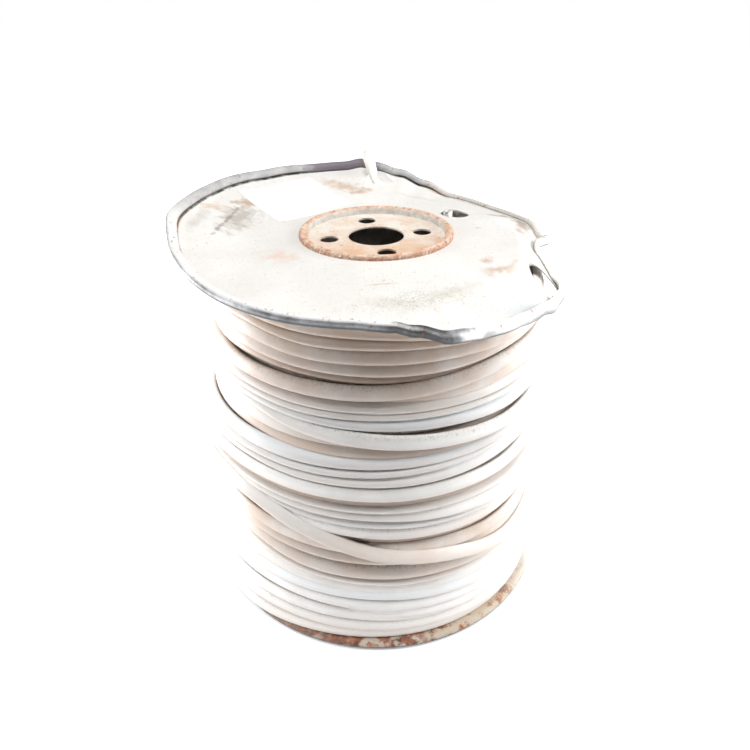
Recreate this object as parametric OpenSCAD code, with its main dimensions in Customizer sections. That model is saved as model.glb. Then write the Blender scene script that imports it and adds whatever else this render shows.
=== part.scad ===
// A pressed steel cable reel, full of flat two-wire building cable.
// The axis is Z and the lower flange stands on the plane z = 0.

/* [Reel] */
// Outside diameter of both flanges
flange_d = 266.7; // [250:0.1:300]
// Height over both flanges before the upper one was bent
reel_h = 270; // [240:1:300]
// Thickness of the flange sheet
sheet_t = 0.9; // [0.6:0.1:1.2]
// Diameter of the curled edge round each flange
curl_d = 6.5; // [5:0.1:8]
// How much of its damage the upper flange has, from none to all
dent = 1; // [0:0.1:1]

/* [Barrel] */
// Outside diameter of the barrel
barrel_d = 97.6; // [90:0.1:100]
// Wall of the barrel
barrel_t = 0.9; // [0.6:0.1:1.2]
// Width of the lip that traps the flange on the barrel
lip_w = 2; // [1:0.1:2.2]

/* [Hub plates] */
// Arbor bore
bore_d = 38.1; // [20:0.1:50]
// Diameter of each drive hole
drive_d = 12.7; // [8:0.1:16]
// Pitch circle of the drive holes
drive_pcd = 65; // [60:0.5:70]
// Number of drive holes
drive_count = 4; // [2:1:6]
// Turn of the first drive hole from +X
drive_turn = 12; // [0:1:90]
// Thickness of a hub plate
plate_t = 1.2; // [0.8:0.1:1.4]
// Width of the rolled seam round a hub plate
seam_w = 7.2; // [6.8:0.1:8]
// Height of the rolled seam above the flange
seam_h = 4.5; // [4:0.1:6]
// Depth of a hub plate's face below the top of its seam
recess = 2.5; // [2:0.1:2.8]

/* [Lead holes] */
// Lead hole beside the hub
hub_lead_d = 21; // [16:1:23]
// Distance of the hub lead hole from the axis
hub_lead_r = 75; // [70:0.1:80]
// Lead holes beside the curled edge
rim_lead_d = 22; // [20:1:24]
// Web of sheet between a rim lead hole and the curl
rim_lead_web = 0.8; // [0.4:0.1:3]

/* [Cable] */
// Width of the flat cable
cable_w = 9.8; // [9.4:0.1:10.4]
// Thickness of the flat cable
cable_t = 4.8; // [4.2:0.1:5]
// Least room between two turns of the outer layer
turn_gap = 0.5; // [0.45:0.05:1]
// Diameter over the full part of the winding
wound_d = 256; // [250:1:258]
// Diameter near the upper flange, where cable has been drawn off
drawn_d = 232; // [226:1:240]
// How far the slack lower loops hang out towards -X
slack = 4.4; // [0:0.1:5]
// Diameter of a wire over its insulation
wire_d = 2.9; // [2.4:0.1:3.2]
// Diameter of each copper wire
copper_d = 1.6; // [1.2:0.1:2]
// Height of the cable's inner end above the flange
stub_rise = 2; // [0:0.5:8]
// Length of bare wire at the cable's outer end
bare_l = 4; // [2:0.5:4]

/* [Label] */
// Length of the paper label
label_l = 64; // [40:1:68]
// Width of the paper label
label_w = 51; // [30:1:54]
// Thickness of the label
label_t = 0.2; // [0.1:0.1:0.4]

/* [Hidden] */
$fn = 96;

// Fits
barrel_fit = 0.3;     // barrel in its hole in the flange, and cable round the barrel
wire_fit = 0.05;      // wire in its sheath, and copper in its insulation
layer_fit = 0.5;      // cable clear of a flange
chord_fit = 1.6;      // outer layer clear of the layers below, with its flat facets
lead_fit = 0.4;       // cable in a lead hole
label_fit = 0.15;     // label over the bent sheet

// Radii and levels of the reel
flange_r = flange_d / 2;
curl_r = curl_d / 2;
barrel_r = barrel_d / 2;
flange_bore_r = barrel_r + barrel_fit;
low_face = curl_d;                // inner face of the lower flange
top_face = reel_h - curl_d;       // inner face of the upper flange
seam_r = barrel_r + 4;            // outside of the rolled seam
rim_lead_r = flange_r - curl_d - rim_lead_web - rim_lead_d / 2;
hub_lead_a = 39;
rim_lead_a = [88, 343.5];
lower_turn = 215;                 // how far the lower flange sits turned from the upper one

// Damage of the upper flange. Each row is a place round the rim:
// [angle, rise of the rim, radius where the sheet starts to bend, shift of the rim outwards]
rim_shape = [
  [0, -22, 92, -11], [8, -20, 92, -12], [12, -19, 92, -3], [25, -11, 88, -1.5],
  [40, -12, 78, -1.5], [62, -9, 74, -1], [72, -3, 70, -0.5], [81, 5, 68, -1],
  [95, 12, 66, -1.5], [110, 12, 60, 0], [130, 15, 60, 0], [155, 18, 60, 1],
  [184, 19, 60, 3.6], [199, 9, 60, 3], [212, 4, 60, 1], [230, 1.5, 60, 0],
  [265, 0.5, 70, 0], [275, -1.5, 90, 0], [288, -12, 98, -2], [301, -20, 92, -4],
  [313, -22, 88, -4], [326, -26, 88, -4], [337, -30, 88, -5], [347, -29, 90, -6],
  [360, -22, 92, -11]
];
bend_power = 1.3;     // above 1 the sheet curves more the nearer it is to the rim
sheet_steps = 8;
turn_step = 4;

function mix(a, b, t) = a + (b - a) * t;
function ease(t) = let (c = min(1, max(0, t))) c * c * (3 - 2 * c);
function whole_turn(a) = a - 360 * floor(a / 360);
function rim_row(a, i = 0) = a < rim_shape[i + 1][0] ? i : rim_row(a, i + 1);
function rim_at(a) =
  let (b = whole_turn(a), i = rim_row(b), p = rim_shape[i], q = rim_shape[i + 1])
  mix(p, q, ease((b - p[0]) / (q[0] - p[0])));
function bend_share(r, row) = max(0, (r - row[2]) / (flange_r - row[2]));
function sheet_rise(r, a) =
  let (row = rim_at(a)) dent * row[1] * pow(bend_share(r, row), bend_power);
function sheet_shift(r, a) = let (row = rim_at(a)) dent * row[3] * bend_share(r, row);
// A point of the bent flange: radius and angle before bending, height above the inner face
function bent(r, a, h) =
  let (out = r + sheet_shift(r, a))
  [out * cos(a), out * sin(a), top_face + h + sheet_rise(r, a)];

// Flange section as [radius, height outwards from the inner face]. The curl is a
// twelve-sided roll that encloses its circle and stops short of the sheet.
curl_angles = [for (a = [-75:30:195]) a];
function curl_point(r, a) =
  [flange_r - curl_r + r / cos(15) * cos(a), curl_r + r / cos(15) * sin(a)];
flange_section = concat(
  [for (i = [0:sheet_steps - 1])
    [mix(flange_bore_r, flange_r - curl_r, i / sheet_steps), 0]],
  [for (a = curl_angles) curl_point(curl_r, a)],
  [for (i = [len(curl_angles) - 1:-1:0]) curl_point(curl_r - sheet_t, curl_angles[i])],
  [for (i = [sheet_steps - 1:-1:0])
    [mix(flange_bore_r, flange_r - curl_r, i / sheet_steps), sheet_t]]
);

// Triangles over a grid of rows and columns of points, numbered row by row.
// closed_rows joins the last row to the first.
function grid_faces(rows, cols, closed_rows) = [
  for (i = [0:rows - (closed_rows ? 1 : 2)], j = [0:cols - 1])
    let (
      a = i * cols + j, b = i * cols + (j + 1) % cols,
      k = (i + 1) % rows, c = k * cols + (j + 1) % cols, d = k * cols + j
    )
    each [[a, b, c], [a, c, d]]
];
function fan(first, count, flip) = [
  for (j = [1:count - 2])
    flip ? [first, first + j + 1, first + j] : [first, first + j, first + j + 1]
];
function flat_list(rows) = [for (row = rows) each row];

// ---- the reel ----

lead_holes = concat([[hub_lead_r, hub_lead_a, hub_lead_d]],
  [for (a = rim_lead_a) [rim_lead_r, a, rim_lead_d]]);

// Places its children at each lead hole, with $hole_d as the hole's diameter
module at_lead_holes() {
  for (hole = lead_holes)
    rotate([0, 0, hole[1]])
      translate([hole[0], 0, 0]) {
        $hole_d = hole[2];
        children();
      }
}

module upper_flange() {
  angles = [for (a = [0:turn_step:360 - turn_step]) a];
  points = [for (a = angles) [for (p = flange_section) bent(p[0], a, p[1])]];
  color("gainsboro")
    difference() {
      polyhedron(flat_list(points), grid_faces(len(angles), len(flange_section), true));
      at_lead_holes()
        translate([0, 0, top_face - 60])
          linear_extrude(120)
            polygon([for (a = [5:15:350]) $hole_d / 2 * [cos(a), sin(a)]]);
    }
}

module lower_flange() {
  color("rosybrown")
    difference() {
      rotate_extrude() polygon([for (p = flange_section) [p[0], low_face - p[1]]]);
      rotate([0, 0, lower_turn])
        mirror([0, 1, 0])
          at_lead_holes()
            translate([0, 0, -1])
              cylinder(d = $hole_d, h = low_face + 2);
    }
}

module barrel() {
  inner = barrel_r - barrel_t;
  shoulder = barrel_r + barrel_fit + 1.2;
  shoulder_h = 1.5;
  function half_section(face, out) = [
    [barrel_r, face - out * shoulder_h * 2],
    [shoulder, face - out * shoulder_h],
    [shoulder, face],
    [barrel_r, face],
    [barrel_r, face + out * sheet_t],
    [barrel_r + lip_w, face + out * sheet_t],
    [barrel_r + lip_w, face + out * (sheet_t + barrel_t)],
    [inner, face + out * (sheet_t + barrel_t)]
  ];
  low_half = half_section(low_face, -1);
  color("silver")
    rotate_extrude()
      polygon(concat(
        [for (i = [len(low_half) - 1:-1:0]) low_half[i]],
        half_section(top_face, 1)
      ));
}

// Section of a hub plate, as heights outwards from the flange's outer face
module hub_section() {
  centre = seam_r - seam_w / 2;
  face = seam_h - recess;
  in_w = seam_w / 2 - plate_t;
  in_h = seam_h - plate_t;
  meet = 180 - asin(face / seam_h);
  polygon(concat(
    [for (i = [0:10]) let (t = meet * i / 10)
      [centre + seam_w / 2 * cos(t), seam_h * sin(t)]],
    [[bore_d / 2, face], [bore_d / 2, face - plate_t], [centre - in_w, face - plate_t]],
    [for (i = [0:8]) let (t = 160 - 20 * i) [centre + in_w * cos(t), in_h * sin(t)]]
  ));
}

module hub_plate() {
  difference() {
    rotate_extrude() hub_section();
    for (i = [0:drive_count - 1])
      rotate([0, 0, drive_turn + 360 * i / drive_count])
        translate([drive_pcd / 2, 0, -1])
          cylinder(d = drive_d, h = seam_h + 2);
  }
}

module upper_hub_plate() {
  color("peru")
    translate([0, 0, top_face + sheet_t])
      hub_plate();
}

module lower_hub_plate() {
  color("peru")
    translate([0, 0, low_face - sheet_t])
      mirror([0, 0, 1])
        hub_plate();
}

// ---- the winding ----

core_r = wound_d / 2 - cable_t - chord_fit;
core_top = top_face - 5;
full_h = 150;                 // below this height the winding has its full diameter
drawn_h = 205;                // above this height it has been drawn down
turn_mid_low = low_face + layer_fit + cable_w / 2;
turn_mid_top = top_face - layer_fit - cable_w / 2;
turn_room = turn_mid_top - turn_mid_low;
sag_from = 0.1;               // share of the layer below which no turn is pressed down
most_sag = max([for (a = [0:5:355]) sag(a)]);
// The layer starts at 180 degrees and ends at 60 degrees, a third of a loop short
loops = floor((turn_room - most_sag / (1 - sag_from)) / (cable_w + turn_gap) + 1 / 3);
last_turn = loops - 1 / 3;
pitch = turn_room / last_turn;
rings = 24;
// Loops where a turn crosses down over its two neighbours
crossings = [floor(loops / 3), floor(loops * 2 / 3) + 1];
cross_at = 0.24;              // where in the loop it crosses, just before the front
cross_w = 0.16;
cross_ramp = 0.07;
cross_lift = cable_t + 0.9;
start_share = 0.25;           // the first quarter loop climbs out of the layer below

function wound_r(z) = mix(wound_d, drawn_d, ease((z - full_h) / (drawn_h - full_h))) / 2;
function slack_at(z) = slack * (1 - ease((z - full_h + 20) / (drawn_h - full_h)));
function outside_r(a, z) = wound_r(z) - slack_at(z) * cos(a);
// Room lost under the bent flange, at the outside of the winding
function sag(a) = max(0, -sheet_rise(drawn_d / 2 + 5, a));
function passed(u, at) = ease((u - at) / cross_w + 0.5);
function swap(u) = [for (k = crossings)
  let (c = k + cross_at) passed(u, c) - 2 * passed(u, c + 1) + passed(u, c + 2)];
function hump(u) = [for (k = crossings)
  let (x = abs(u - (k + 1 + cross_at))) 1 - ease((x - cross_w / 2) / cross_ramp)];
function total(v) = len(v) == 0 ? 0 : v * [for (x = v) 1];
function turn_z(u) =
  let (slot = u + total(swap(u)), share = slot / last_turn)
  turn_mid_low + slot * pitch
    - sag(180 + 360 * u) * max(0, (share - sag_from) / (1 - sag_from));
start_z = turn_z(0);
start_r = core_r - cable_t / 2 - layer_fit;
function turn_r(u) =
  let (full = outside_r(180 + 360 * u, turn_z(u)) - cable_t / 2)
  mix(start_r + slack, full, ease(u / start_share)) + cross_lift * total(hump(u));

// Six-sided section of the flat cable, as [across its thickness, across its width]
cable_side = cable_w / 2 - cable_t / 3;
cable_section = [
  [cable_t / 2, -cable_side], [cable_t / 2, cable_side], [0, cable_w / 2],
  [-cable_t / 2, cable_side], [-cable_t / 2, -cable_side], [0, -cable_w / 2]
];
// A ring of the cable where it runs round the reel: angle, radius, height, and a
// straight shift along its run
function ring_at(a, r, z, run) = [for (s = cable_section)
  [(r + s[0]) * cos(a) - run * sin(a), (r + s[0]) * sin(a) + run * cos(a), z + s[1]]];
ring_count = floor(last_turn * rings);
end_u = ring_count / rings;
end_a = 180 + 360 * end_u;
layer_rings = concat(
  [ring_at(180, turn_r(0), start_z, 0), ring_at(180, turn_r(0), start_z, cable_w)],
  [for (i = [1:ring_count]) let (u = i / rings)
    ring_at(180 + 360 * u, turn_r(u), turn_z(u), 0)],
  [ring_at(end_a, turn_r(end_u), turn_z(end_u), cable_w)]
);
module tube(ring_list) {
  n = len(ring_list[0]);
  polyhedron(flat_list(ring_list), concat(
    grid_faces(len(ring_list), n, false),
    fan(0, n, true),
    fan((len(ring_list) - 1) * n, n, false)
  ));
}

// Least distance between points of the outer layer one, two or three loops apart
loop_gap = min([for (i = [0:len(layer_rings) - 1], n = [1:3])
  let (j = i + n * rings)
  for (k = [j - 1:j + 1])
    if (k < len(layer_rings))
      min([for (p = layer_rings[i], q = layer_rings[k]) norm(p - q)])]);
echo(str("outer layer: ", loops, " loops, least gap to itself ", loop_gap, " mm"));

module inner_layers() {
  bore_r = barrel_r + barrel_fit;
  lip_r = bore_r + 1.5;
  drawn_r = drawn_d / 2 - cable_t - chord_fit;
  color("ghostwhite")
    difference() {
      union() {
        translate([-slack, 0, low_face])
          cylinder(r = core_r, h = full_h - 20 - low_face);
        rotate_extrude()
          polygon([
            [0, full_h - 21], [core_r - slack - 1, full_h - 21],
            [core_r - slack - 2, full_h], [drawn_r, drawn_h - 8],
            [drawn_r, top_face - 16], [88, core_top], [0, core_top]
          ]);
      }
      translate([0, 0, low_face - 1]) cylinder(r = bore_r, h = reel_h);
      translate([0, 0, low_face - 1]) cylinder(r = lip_r, h = 5);
      // Where the outer layer climbs out of the layer below, in the quarter x < 0, y < 0
      pocket_h = cable_w + start_share * pitch + 3 * layer_fit;
      difference() {
        translate([-wound_d, -wound_d, low_face - 1]) cube([wound_d, wound_d, pocket_h + 1]);
        translate([0, 0, low_face - 2])
          cylinder(r = start_r - cable_t / 2 - chord_fit, h = pocket_h + 4);
      }
    }
}

module outer_layer() {
  color("white") tube(layer_rings);
}

// ---- the tail, over the rim and down through a lead hole ----

// Steps of the tail after the outer layer: along the rim, out from the flange's edge and
// up from its face, with the way the tail's width points
tail_steps = [
  [[34, -21.35, -8.7], [0.1, 0, 1]],
  [[21, -12.35, -5], [0.3, 0, 1]],
  [[9, -3.35, 1], [0.6, 0, 0.8]],
  [[1, 1.05, 7], [0.85, 0, 0.5]],
  [[-4, 1.25, 14.5], [1, 0, 0.25]],
  [[-6.5, 0.15, 21], [1, 0, 0]],
  [[-7, -4.85, 24.1], [1, 0, 0]],
  [[-6, -11.35, 22.8], [1, 0.3, 0]],
  [[-4.5, -15.85, 18], [0.9, 0.6, 0]],
  [[-3, -18.35, 12.5], [0.5, 0.9, 0]],
  [[-2.2, -19.35, 8], [0.1, 1, 0]],
  [[-2, -19.85, 4], [0, 1, 0]],
  [[-2, -19.85, -6], [0, 1, 0]]
];
tail_route = [for (s = tail_steps) [[0, flange_r, top_face] + s[0], s[1]]];
tail_end = tail_route[len(tail_route) - 1][0];
function unit(v) = v / norm(v);
function tail_ring(i) =
  let (
    last = len(tail_route) - 1,
    before = i == 0 ? ring_centre(layer_rings[len(layer_rings) - 1]) : tail_route[i - 1][0],
    after = tail_route[min(last, i + 1)][0],
    here = tail_route[i][0],
    along = i == last ? [0, 0, -1] : unit(after - before),
    wide = tail_route[i][1],
    across = unit(wide - along * (wide * along)),
    through = cross(along, across)
  )
  [for (s = cable_section) here + through * s[0] + across * s[1]];
function ring_centre(ring) = total_point(ring) / len(ring);
function total_point(v) = [for (k = [0:2]) total([for (p = v) p[k]])];

module cable_tail() {
  color("white")
    tube(concat([layer_rings[len(layer_rings) - 1]],
      [for (i = [0:len(tail_route) - 1]) tail_ring(i)]));
}

// ---- cut ends of the cable ----

wire_at = [-cable_w * 0.29, 0, cable_w * 0.29];   // black, ground and white wires
stub_side = 190;              // the inner end leans to this side of its lead hole
stub_turn = 62;
stub_off = hub_lead_d / 2 - cable_w / 2 - lead_fit;
stub_at = [
  hub_lead_r * cos(hub_lead_a) + stub_off * cos(stub_side),
  hub_lead_r * sin(hub_lead_a) + stub_off * sin(stub_side)
];
stub_top = top_face + sheet_t + stub_rise;

module stadium() {
  square([cable_w - cable_t, cable_t], center = true);
  for (side = [-1, 1])
    translate([side * (cable_w - cable_t) / 2, 0])
      circle(d = cable_t);
}

module insulation(length) {
  difference() {
    cylinder(d = wire_d, h = length, $fn = 32);
    translate([0, 0, -1]) cylinder(d = copper_d + 2 * wire_fit, h = length + 2, $fn = 32);
  }
}

module copper(length) {
  cylinder(d = copper_d, h = length, $fn = 32);
}

module in_stub(offset) {
  translate([stub_at[0], stub_at[1], core_top])
    rotate([0, 0, stub_turn])
      translate([offset, 0, 0])
        children();
}

module in_tail(offset) {
  translate([tail_end[0], tail_end[1] + offset, tail_end[2] - bare_l])
    children();
}

stub_l = stub_top - core_top;

module inner_end_sheath() {
  color("white")
    in_stub(0)
      difference() {
        linear_extrude(stub_l) stadium();
        for (x = wire_at)
          translate([x, 0, -1])
            cylinder(d = (x == 0 ? copper_d : wire_d) + 2 * wire_fit, h = stub_l + 2, $fn = 32);
      }
}

module inner_end_black_insulation() {
  color("dimgray") in_stub(wire_at[0]) insulation(stub_l);
}

module inner_end_white_insulation() {
  color("white") in_stub(wire_at[2]) insulation(stub_l);
}

module inner_end_copper_cores() {
  color("peru") {
    in_stub(wire_at[0]) copper(stub_l);
    in_stub(wire_at[2]) copper(stub_l);
  }
}

module inner_end_ground_wire() {
  color("peru") in_stub(wire_at[1]) copper(stub_l);
}

module outer_end_black_insulation() {
  color("dimgray") in_tail(wire_at[0]) insulation(bare_l);
}

module outer_end_white_insulation() {
  color("white") in_tail(wire_at[2]) insulation(bare_l);
}

module outer_end_copper_cores() {
  color("peru") {
    in_tail(wire_at[0]) copper(bare_l);
    in_tail(wire_at[2]) copper(bare_l);
  }
}

module outer_end_ground_wire() {
  color("peru") in_tail(wire_at[1]) copper(bare_l);
}

// ---- the label ----

label_at = [-60, 65];
label_turn = 42;
label_cols = 8;
label_rows = 6;

function label_point(i, j, h) =
  let (
    x = (i / label_cols - 0.5) * label_l,
    y = (j / label_rows - 0.5) * label_w,
    px = label_at[0] + x * cos(label_turn) - y * sin(label_turn),
    py = label_at[1] + x * sin(label_turn) + y * cos(label_turn)
  )
  bent(norm([px, py]), atan2(py, px), sheet_t + label_fit + h);

// The label is a stack of two grids, joined round the edge as rings of one tube
module paper_label() {
  n = (label_cols + 1) * (label_rows + 1);
  function at(i, j, top) = (top ? n : 0) + i * (label_rows + 1) + j;
  points = [for (h = [0, label_t], i = [0:label_cols], j = [0:label_rows])
    label_point(i, j, h)];
  faces = concat(
    [for (i = [0:label_cols - 1], j = [0:label_rows - 1]) each [
      [at(i, j, true), at(i, j + 1, true), at(i + 1, j + 1, true)],
      [at(i, j, true), at(i + 1, j + 1, true), at(i + 1, j, true)],
      [at(i, j, false), at(i + 1, j + 1, false), at(i, j + 1, false)],
      [at(i, j, false), at(i + 1, j, false), at(i + 1, j + 1, false)]]],
    [for (i = [0:label_cols - 1], side = [0, 1])
      let (
        j = side * label_rows,
        a = at(i, j, false), b = at(i + 1, j, false),
        c = at(i + 1, j, true), d = at(i, j, true)
      )
      each side == 0 ? [[a, d, c], [a, c, b]] : [[a, b, c], [a, c, d]]],
    [for (j = [0:label_rows - 1], side = [0, 1])
      let (
        i = side * label_cols,
        a = at(i, j, false), b = at(i, j + 1, false),
        c = at(i, j + 1, true), d = at(i, j, true)
      )
      each side == 0 ? [[a, b, c], [a, c, d]] : [[a, d, c], [a, c, b]]]
  );
  color("white") polyhedron(points, faces);
}

upper_flange();
lower_flange();
barrel();
upper_hub_plate();
lower_hub_plate();
inner_layers();
outer_layer();
cable_tail();
inner_end_sheath();
inner_end_black_insulation();
inner_end_white_insulation();
inner_end_copper_cores();
inner_end_ground_wire();
outer_end_black_insulation();
outer_end_white_insulation();
outer_end_copper_cores();
outer_end_ground_wire();
paper_label();
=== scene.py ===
# %% [markdown]
# # A pressed steel cable reel, wound full of flat building cable
#
# The real object is made of two round pressings of thin steel, each with a curled edge,
# a sheet tube that they are trapped on, and a rusty rolled hub at each end. It is full of
# white flat cable. The upper pressing has been dropped on its right side and is bent.
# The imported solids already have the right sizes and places. This lesson dresses them:
# the sheet gets a smooth bent form, the cable gets its untidy turns, and each piece gets
# a finish built from noise, masks and stains.

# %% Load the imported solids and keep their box
import bpy, bmesh, math, random
from mathutils import Matrix, Vector, noise


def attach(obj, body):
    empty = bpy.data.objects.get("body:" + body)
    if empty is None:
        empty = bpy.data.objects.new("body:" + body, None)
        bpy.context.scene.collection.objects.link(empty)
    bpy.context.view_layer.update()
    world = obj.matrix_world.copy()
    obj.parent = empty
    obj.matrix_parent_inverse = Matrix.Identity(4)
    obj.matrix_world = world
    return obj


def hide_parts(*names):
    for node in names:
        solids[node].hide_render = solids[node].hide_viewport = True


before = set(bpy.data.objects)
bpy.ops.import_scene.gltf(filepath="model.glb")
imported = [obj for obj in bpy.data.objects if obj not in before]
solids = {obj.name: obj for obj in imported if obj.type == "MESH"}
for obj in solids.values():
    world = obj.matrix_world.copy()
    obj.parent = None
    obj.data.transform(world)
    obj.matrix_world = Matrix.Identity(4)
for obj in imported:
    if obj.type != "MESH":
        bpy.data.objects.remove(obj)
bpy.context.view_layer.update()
scene = bpy.context.scene
scene.view_settings.view_transform = "Standard"
MM = 0.001

# %% [markdown]
# ## The camera
#
# A viewer stands in front of the reel and looks down on it by about a third of a right
# angle. The lens is a little wider than a normal one and close to the reel, so the lower
# flange looks clearly smaller than the upper one.

# %% Camera
EYE = (0.000748, -0.455603, 0.443748)  # metres
PAN, LOOK_DOWN, ROLL = 0.307, 32.541, -0.524  # degrees
camera_data = bpy.data.cameras.new("camera")
camera_data.lens = 33.595
camera_data.sensor_width = 36
camera_data.clip_start = 0.01
camera = bpy.data.objects.new("camera", camera_data)
camera.matrix_world = (
    Matrix.Translation(EYE)
    @ Matrix.Rotation(math.radians(PAN), 4, "Z")
    @ Matrix.Rotation(math.radians(90 - LOOK_DOWN), 4, "X")
    @ Matrix.Rotation(math.radians(ROLL), 4, "Z")
)
scene.collection.objects.link(camera)
scene.camera = camera
print("camera lens:", camera_data.lens, "mm")

# %% [markdown]
# ## Helpers for shapes
#
# `mix`, `ease` and `hump` are used for every bend. `shown` makes an object of a bmesh.
# `piece` does the same for a piece of the reel, which stays at the origin, rides on the
# reel, and has smooth faces with sharp creases.

# %% Shape helpers
def mix(a, b, t):
    return a + (b - a) * t


def ease(t):
    t = min(1, max(0, t))
    return t * t * (3 - 2 * t)


def hump(value, up, up_by, down, down_by):
    """Rises from 0 to 1 over up_by after up, and falls again over down_by after down."""
    return ease((value - up) / up_by) * (1 - ease((value - down) / down_by))


def polar(r, angle):
    """x and y of a point at radius r, turned by an angle in radians."""
    return r * math.cos(angle), r * math.sin(angle)


def shown(name, bm):
    mesh = bpy.data.meshes.new(name)
    bm.to_mesh(mesh)
    bm.free()
    made = bpy.data.objects.new(name, mesh)
    scene.collection.objects.link(made)
    return made


def piece(name, bm, stands_for, crease=38):
    made = shown(name, bm)
    made.data.shade_smooth()
    made.data.set_sharp_from_angle(angle=math.radians(crease))
    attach(made, "root")
    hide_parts(*stands_for)
    print(name, "faces:", len(made.data.polygons))
    return made


def in_metres(bm):
    """From millimetres, with all faces turned outwards."""
    bmesh.ops.scale(bm, verts=bm.verts, vec=(MM, MM, MM))
    bmesh.ops.recalc_face_normals(bm, faces=bm.faces)
    return bm


# %% [markdown]
# ## The two flanges
#
# A flange is one disc of 0.9 mm sheet whose edge is rolled over into a curl, so that no
# one is cut on it. It could be a cylinder with a torus on it, but then the curl would
# have no slit beside it. Here its real section is drawn once as a closed chain of points
# and spun round the axis. The lead holes are cut while the disc is still flat, and the
# damage is put in afterwards by moving every point, as the fall did.

# %% Sizes of a flange, in millimetres
FLANGE_R, CURL_R, SHEET = 133.35, 3.25, 0.9
SEAM_R = 52.8  # outside of the hub's rolled seam
LOW_FACE, TOP_FACE = 6.5, 263.5  # heights of the two inner faces
BORE_R = 49.1
# Lead holes as (radius, angle, diameter)
LEAD_HOLES = [(75.0, 39.0, 21.0), (115.05, 88.0, 22.0), (115.05, 343.5, 22.0)]
RIM_HOLE = (117.2, 342.6, 23.0)  # the third one of the upper flange, stretched by the fall
TURNED_OVER = 215  # the lower flange is turned over: a hole at angle a is at 215 - a there
FLANGE_STEPS, HOLE_STEPS, CUTTER_DEPTH = 240, 72, 30


def flange_section():
    """Closed section as (radius, height outwards), along the inner face and back."""
    centre, thin = FLANGE_R - CURL_R, CURL_R - SHEET
    disc = [mix(BORE_R, centre, i / 34) for i in range(35)]
    roll = [math.radians(-84 + 12 * i) for i in range(25)]
    outer = [(centre + CURL_R * math.cos(a), CURL_R * (1 + math.sin(a))) for a in roll]
    inner = [(centre + thin * math.cos(a), CURL_R + thin * math.sin(a)) for a in roll[::-1]]
    return [(r, 0) for r in disc] + outer + inner + [(r, SHEET) for r in disc[::-1]]


# %% Spin a section, and cut round holes through it
def spun(section, steps):
    """A closed chain of (radius, height) points, turned once round the axis."""
    bm = bmesh.new()
    chain = [bm.verts.new((r, 0, z)) for r, z in section]
    edges = [bm.edges.new((a, b)) for a, b in zip(chain, chain[1:] + chain[:1])]
    bmesh.ops.spin(bm, geom=chain + edges, cent=(0, 0, 0), axis=(0, 0, 1),
                   angle=math.tau, steps=steps, use_merge=True)
    bmesh.ops.recalc_face_normals(bm, faces=bm.faces)
    return bm


def spun_and_cut(section, holes, level, steps):
    """The same with a round hole for each (radius, angle, diameter) row."""
    disc = shown("disc", spun(section, steps))
    bm = bmesh.new()
    for r, a, d in holes:
        place = Matrix.Translation((*polar(r, math.radians(a)), level))
        bmesh.ops.create_cone(bm, cap_ends=True, segments=HOLE_STEPS, radius1=d / 2,
                              radius2=d / 2, depth=CUTTER_DEPTH, matrix=place)
    cutter = shown("cutters", bm)
    cut = disc.modifiers.new("cut", "BOOLEAN")
    cut.operation, cut.solver, cut.object = "DIFFERENCE", "EXACT", cutter
    bpy.context.view_layer.update()
    made = bpy.data.meshes.new_from_object(
        disc.evaluated_get(bpy.context.evaluated_depsgraph_get()))
    bm = bmesh.new()
    bm.from_mesh(made)
    for o in (disc, cutter):
        bpy.data.objects.remove(o)
    print("spun and cut:", len(bm.verts), "points")
    return bm


def flat_flange(outwards, face, holes):
    section = [(r, face + outwards * h) for r, h in flange_section()]
    bm = spun_and_cut(section, holes, face, FLANGE_STEPS)
    rim, rolled = (bm.verts.layers.float.new(name) for name in ("rim", "rolled"))
    for v in bm.verts:
        v[rim], v[rolled] = math.hypot(v.co.x, v.co.y), abs(v.co.z - face)
    return bm


# %% Damage of the upper flange
# Each row: angle in degrees, then in millimetres the rise of the rim, the radius where
# the sheet starts to bend, and the outward shift
RIM = [
    (0, -22.5, 98, -13.6), (8, -20, 98, -16), (10.5, -17, 96, -13), (13, -17, 92, 0),
    (15, -18, 92, -3), (25, -11, 88, -1.5),
    (40, -12, 78, -1.5), (62, -9, 74, -1), (72, -3, 70, -0.5), (81, 5, 68, -1),
    (90, 11, 66, -1.5), (95.5, 14, 64, -1.2), (101, 12, 62, -0.6), (110, 12, 60, 0),
    (130, 15, 60, 0), (155, 18, 60, 1),
    (184, 18.5, 60, 5), (199, 9, 60, 4), (212, 3, 60, 1.4), (230, 1, 60, 0.4),
    (265, 0.5, 70, -0.8), (274, -1.5, 90, -1), (279, -3.5, 96, 1.6), (288, -12, 98, -0.4),
    (301, -20, 95, -8.6), (313, -22, 96, -9), (326, -26, 96, -8.6), (337, -32, 100, -6),
    (346, -30.5, 97, -2.8), (354, -27.5, 98, -9.2), (360, -22.5, 98, -13.6),
]


def rim_at(angle):
    for p, q in zip(RIM, RIM[1:]):
        if p[0] <= angle <= q[0]:
            t = ease((angle - p[0]) / (q[0] - p[0]))
            return [mix(a, b, t) for a, b in zip(p, q)]


def past_zero(turned, up, up_by, down, down_by):
    """As hump, for a stretch of the rim that runs through angle 0."""
    return ease((turned - up) / up_by) if turned > 180 else 1 - ease((turned - down) / down_by)


LIP_R, LIP_LOW, LIP_SHUT = 127.4, 0.92, 0.95  # the curl's inner lip: radius, heights


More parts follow.
